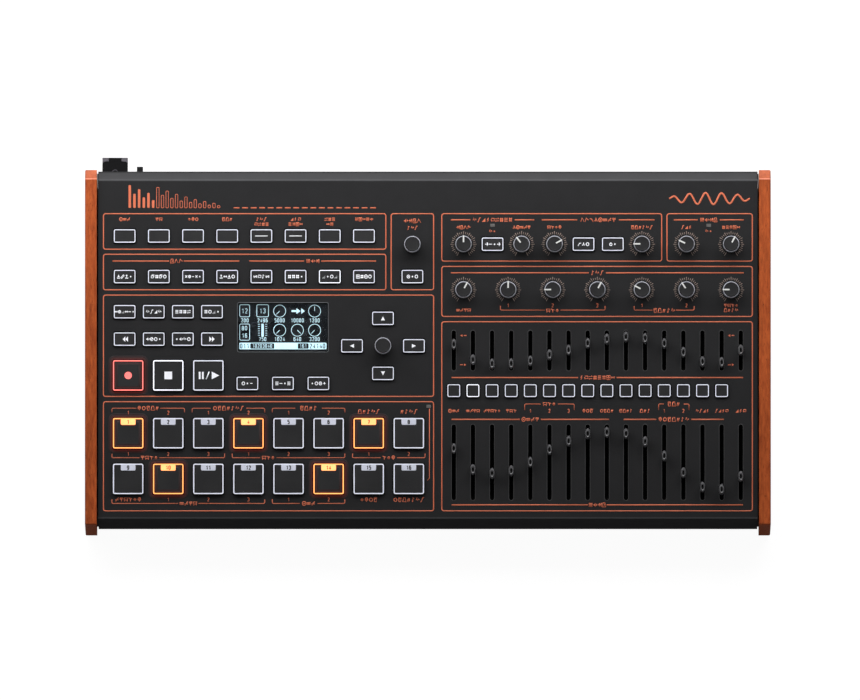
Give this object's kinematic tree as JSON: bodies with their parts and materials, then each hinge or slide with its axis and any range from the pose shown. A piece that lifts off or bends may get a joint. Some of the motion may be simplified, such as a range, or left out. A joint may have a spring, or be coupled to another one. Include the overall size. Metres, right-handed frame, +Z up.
{
  "type": "drum machine",
  "caption": "Desktop drum machine: sloping steel panel between wooden cheeks, with lit pads, keys, knobs, slide faders, a small display and a row of rear sockets.",
  "frame": {"origin": "centre of the overall box, at table height", "axes": "+X to the player's right, +Y to the back, +Z up"},
  "size_m": [0.4982, 0.269, 0.09],
  "materials": {
    "case_paint": "matte",
    "tray_metal": "matte",
    "cheek_wood": "satin",
    "circuit_board": "satin",
    "switch_plastic": "matte",
    "pot_metal": "satin",
    "display_screen": "gloss",
    "window_glass": "gloss",
    "socket_plastic": "satin",
    "retainer_plastic": "matte",
    "foot_rubber": "matte",
    "fastener_steel": "satin",
    "key_dark": "matte",
    "pad_plastic": "matte",
    "knob_plastic": "satin",
    "fader_plastic": "satin"
  },
  "bodies": {
    "chassis": {"base_tray": "tray_metal", "circuit_boards": "circuit_board", "cord_retainer": "retainer_plastic", "display_module": "display_screen", "display_window": "window_glass", "key_switches": "switch_plastic", "large_jacks": "socket_plastic", "left_cheek": "cheek_wood", "rear_panel": "case_paint", "rear_sockets": "socket_plastic", "right_cheek": "cheek_wood", "rotary_pots": "pot_metal", "rubber_feet": "foot_rubber", "screws_and_nuts": "fastener_steel", "slide_pots": "pot_metal", "small_jacks": "socket_plastic", "socket_inserts": "socket_plastic", "top_cover": "case_paint"},
    "arrow_keys": {"arrow_keys": "key_dark"},
    "cursor_knob": {"cursor_knob": "knob_plastic"},
    "drum_pads": {"drum_pads": "pad_plastic"},
    "function_keys": {"function_keys": "key_dark"},
    "level_fader_1": {"level_fader_1": "fader_plastic"},
    "level_fader_10": {"level_fader_10": "fader_plastic"},
    "level_fader_11": {"level_fader_11": "fader_plastic"},
    "level_fader_12": {"level_fader_12": "fader_plastic"},
    "level_fader_13": {"level_fader_13": "fader_plastic"},
    "level_fader_14": {"level_fader_14": "fader_plastic"},
    "level_fader_15": {"level_fader_15": "fader_plastic"},
    "level_fader_16": {"level_fader_16": "fader_plastic"},
    "level_fader_2": {"level_fader_2": "fader_plastic"},
    "level_fader_3": {"level_fader_3": "fader_plastic"},
    "level_fader_4": {"level_fader_4": "fader_plastic"},
    "level_fader_5": {"level_fader_5": "fader_plastic"},
    "level_fader_6": {"level_fader_6": "fader_plastic"},
    "level_fader_7": {"level_fader_7": "fader_plastic"},
    "level_fader_8": {"level_fader_8": "fader_plastic"},
    "level_fader_9": {"level_fader_9": "fader_plastic"},
    "lower_knob_1": {"lower_knob_1": "knob_plastic"},
    "lower_knob_2": {"lower_knob_2": "knob_plastic"},
    "lower_knob_3": {"lower_knob_3": "knob_plastic"},
    "lower_knob_4": {"lower_knob_4": "knob_plastic"},
    "lower_knob_5": {"lower_knob_5": "knob_plastic"},
    "lower_knob_6": {"lower_knob_6": "knob_plastic"},
    "lower_knob_7": {"lower_knob_7": "knob_plastic"},
    "pan_faders_high": {"pan_faders_high": "fader_plastic"},
    "pan_faders_low": {"pan_faders_low": "fader_plastic"},
    "pan_faders_middle": {"pan_faders_middle": "fader_plastic"},
    "power_button": {"power_button": "key_dark"},
    "synth_keys": {"synth_keys": "key_dark"},
    "tempo_knob": {"tempo_knob": "knob_plastic"},
    "track_keys": {"track_keys": "key_dark"},
    "transport_keys": {"transport_keys": "pad_plastic"},
    "upper_knob_1": {"upper_knob_1": "knob_plastic"},
    "upper_knob_2": {"upper_knob_2": "knob_plastic"},
    "upper_knob_3": {"upper_knob_3": "knob_plastic"},
    "upper_knob_4": {"upper_knob_4": "knob_plastic"},
    "upper_knob_5": {"upper_knob_5": "knob_plastic"},
    "upper_knob_6": {"upper_knob_6": "knob_plastic"},
    "voice_keys": {"voice_keys": "key_dark"}
  },
  "joints": [
    {"name": "tempo_knob_turn", "type": "hinge", "parent": "chassis", "child": "tempo_knob", "pos_m": [-0.01126, 0.06654, 0.07721], "axis": [0, 0.1736, -0.9848], "continuous": true},
    {"name": "cursor_knob_turn", "type": "hinge", "parent": "chassis", "child": "cursor_knob", "pos_m": [-0.03264, -0.00604, 0.06441], "axis": [0, 0.1736, -0.9848], "continuous": true},
    {"name": "upper_knob_1_turn", "type": "hinge", "parent": "chassis", "child": "upper_knob_1", "pos_m": [0.02589, 0.06674, 0.07725], "axis": [0, 0.1736, -0.9848], "range_deg": [-150, 150]},
    {"name": "upper_knob_2_turn", "type": "hinge", "parent": "chassis", "child": "upper_knob_2", "pos_m": [0.06809, 0.06674, 0.07725], "axis": [0, 0.1736, -0.9848], "range_deg": [-112, 188]},
    {"name": "upper_knob_3_turn", "type": "hinge", "parent": "chassis", "child": "upper_knob_3", "pos_m": [0.09199, 0.06674, 0.07725], "axis": [0, 0.1736, -0.9848], "range_deg": [-212, 88]},
    {"name": "upper_knob_4_turn", "type": "hinge", "parent": "chassis", "child": "upper_knob_4", "pos_m": [0.15549, 0.06674, 0.07725], "axis": [0, 0.1736, -0.9848], "range_deg": [-60, 240]},
    {"name": "upper_knob_5_turn", "type": "hinge", "parent": "chassis", "child": "upper_knob_5", "pos_m": [0.18789, 0.06674, 0.07725], "axis": [0, 0.1736, -0.9848], "range_deg": [-85, 215]},
    {"name": "upper_knob_6_turn", "type": "hinge", "parent": "chassis", "child": "upper_knob_6", "pos_m": [0.22029, 0.06674, 0.07725], "axis": [0, 0.1736, -0.9848], "range_deg": [-178, 122]},
    {"name": "lower_knob_1_turn", "type": "hinge", "parent": "chassis", "child": "lower_knob_1", "pos_m": [0.02589, 0.03404, 0.07148], "axis": [0, 0.1736, -0.9848], "range_deg": [-178, 122]},
    {"name": "lower_knob_2_turn", "type": "hinge", "parent": "chassis", "child": "lower_knob_2", "pos_m": [0.05829, 0.03404, 0.07148], "axis": [0, 0.1736, -0.9848], "range_deg": [-150, 150]},
    {"name": "lower_knob_3_turn", "type": "hinge", "parent": "chassis", "child": "lower_knob_3", "pos_m": [0.09069, 0.03404, 0.07148], "axis": [0, 0.1736, -0.9848], "range_deg": [-60, 240]},
    {"name": "lower_knob_4_turn", "type": "hinge", "parent": "chassis", "child": "lower_knob_4", "pos_m": [0.12309, 0.03404, 0.07148], "axis": [0, 0.1736, -0.9848], "range_deg": [-178, 122]},
    {"name": "lower_knob_5_turn", "type": "hinge", "parent": "chassis", "child": "lower_knob_5", "pos_m": [0.15549, 0.03404, 0.07148], "axis": [0, 0.1736, -0.9848], "range_deg": [-88, 212]},
    {"name": "lower_knob_6_turn", "type": "hinge", "parent": "chassis", "child": "lower_knob_6", "pos_m": [0.18789, 0.03404, 0.07148], "axis": [0, 0.1736, -0.9848], "range_deg": [-115, 185]},
    {"name": "lower_knob_7_turn", "type": "hinge", "parent": "chassis", "child": "lower_knob_7", "pos_m": [0.22029, 0.03404, 0.07148], "axis": [0, 0.1736, -0.9848], "range_deg": [-60, 240]},
    {"name": "level_fader_1_slide", "type": "slide", "parent": "chassis", "child": "level_fader_1", "axis": [0, 0.9848, 0.1736], "range_m": [-0.0324, 0.0126]},
    {"name": "level_fader_2_slide", "type": "slide", "parent": "chassis", "child": "level_fader_2", "axis": [0, 0.9848, 0.1736], "range_m": [-0.0171, 0.0279]},
    {"name": "level_fader_3_slide", "type": "slide", "parent": "chassis", "child": "level_fader_3", "axis": [0, 0.9848, 0.1736], "range_m": [-0.0144, 0.0306]},
    {"name": "level_fader_4_slide", "type": "slide", "parent": "chassis", "child": "level_fader_4", "axis": [0, 0.9848, 0.1736], "range_m": [-0.0162, 0.0288]},
    {"name": "level_fader_5_slide", "type": "slide", "parent": "chassis", "child": "level_fader_5", "axis": [0, 0.9848, 0.1736], "range_m": [-0.0225, 0.0225]},
    {"name": "level_fader_6_slide", "type": "slide", "parent": "chassis", "child": "level_fader_6", "axis": [0, 0.9848, 0.1736], "range_m": [-0.0315, 0.0135]},
    {"name": "level_fader_7_slide", "type": "slide", "parent": "chassis", "child": "level_fader_7", "axis": [0, 0.9848, 0.1736], "range_m": [-0.0378, 0.0072]},
    {"name": "level_fader_8_slide", "type": "slide", "parent": "chassis", "child": "level_fader_8", "axis": [0, 0.9848, 0.1736], "range_m": [-0.0432, 0.0018]},
    {"name": "level_fader_9_slide", "type": "slide", "parent": "chassis", "child": "level_fader_9", "axis": [0, 0.9848, 0.1736], "range_m": [-0.0441, 0.0009]},
    {"name": "level_fader_10_slide", "type": "slide", "parent": "chassis", "child": "level_fader_10", "axis": [0, 0.9848, 0.1736], "range_m": [-0.0432, 0.0018]},
    {"name": "level_fader_11_slide", "type": "slide", "parent": "chassis", "child": "level_fader_11", "axis": [0, 0.9848, 0.1736], "range_m": [-0.03735, 0.00765]},
    {"name": "level_fader_12_slide", "type": "slide", "parent": "chassis", "child": "level_fader_12", "axis": [0, 0.9848, 0.1736], "range_m": [-0.027, 0.018]},
    {"name": "level_fader_13_slide", "type": "slide", "parent": "chassis", "child": "level_fader_13", "axis": [0, 0.9848, 0.1736], "range_m": [-0.01485, 0.03015]},
    {"name": "level_fader_14_slide", "type": "slide", "parent": "chassis", "child": "level_fader_14", "axis": [0, 0.9848, 0.1736], "range_m": [-0.0045, 0.0405]},
    {"name": "level_fader_15_slide", "type": "slide", "parent": "chassis", "child": "level_fader_15", "axis": [0, 0.9848, 0.1736], "range_m": [-0.0027, 0.0423]},
    {"name": "level_fader_16_slide", "type": "slide", "parent": "chassis", "child": "level_fader_16", "axis": [0, 0.9848, 0.1736], "range_m": [-0.01215, 0.03285]},
    {"name": "pan_faders_high_slide", "type": "slide", "parent": "chassis", "child": "pan_faders_high", "axis": [0, 0.9848, 0.1736], "range_m": [-0.0144, 0.0002]},
    {"name": "pan_faders_middle_slide", "type": "slide", "parent": "chassis", "child": "pan_faders_middle", "axis": [0, 0.9848, 0.1736], "range_m": [-0.0068, 0.0098]},
    {"name": "pan_faders_low_slide", "type": "slide", "parent": "chassis", "child": "pan_faders_low", "axis": [0, 0.9848, 0.1736], "range_m": [-0.0002, 0.0168]},
    {"name": "function_keys_press", "type": "slide", "parent": "chassis", "child": "function_keys", "axis": [0, 0.1736, -0.9848], "range_m": [0, 0.001], "stiffness_N_per_m": 500, "springref_m": -0.00089},
    {"name": "track_keys_press", "type": "slide", "parent": "chassis", "child": "track_keys", "axis": [0, 0.1736, -0.9848], "range_m": [0, 0.001], "stiffness_N_per_m": 500, "springref_m": -0.00057},
    {"name": "arrow_keys_press", "type": "slide", "parent": "chassis", "child": "arrow_keys", "axis": [0, 0.1736, -0.9848], "range_m": [0, 0.001], "stiffness_N_per_m": 500, "springref_m": -0.00021},
    {"name": "synth_keys_press", "type": "slide", "parent": "chassis", "child": "synth_keys", "axis": [0, 0.1736, -0.9848], "range_m": [0, 0.001], "stiffness_N_per_m": 500, "springref_m": -0.00016},
    {"name": "voice_keys_press", "type": "slide", "parent": "chassis", "child": "voice_keys", "axis": [0, 0.1736, -0.9848], "range_m": [0, 0.001], "stiffness_N_per_m": 500, "springref_m": -0.00045},
    {"name": "transport_keys_press", "type": "slide", "parent": "chassis", "child": "transport_keys", "axis": [0, 0.1736, -0.9848], "range_m": [0, 0.001], "stiffness_N_per_m": 500, "springref_m": -0.00054},
    {"name": "drum_pads_press", "type": "slide", "parent": "chassis", "child": "drum_pads", "axis": [0, 0.1736, -0.9848], "range_m": [0, 0.001], "stiffness_N_per_m": 500, "springref_m": -0.00286},
    {"name": "power_button_press", "type": "slide", "parent": "chassis", "child": "power_button", "axis": [0, -1, 0], "range_m": [0, 0.0016], "stiffness_N_per_m": 200}
  ]
}
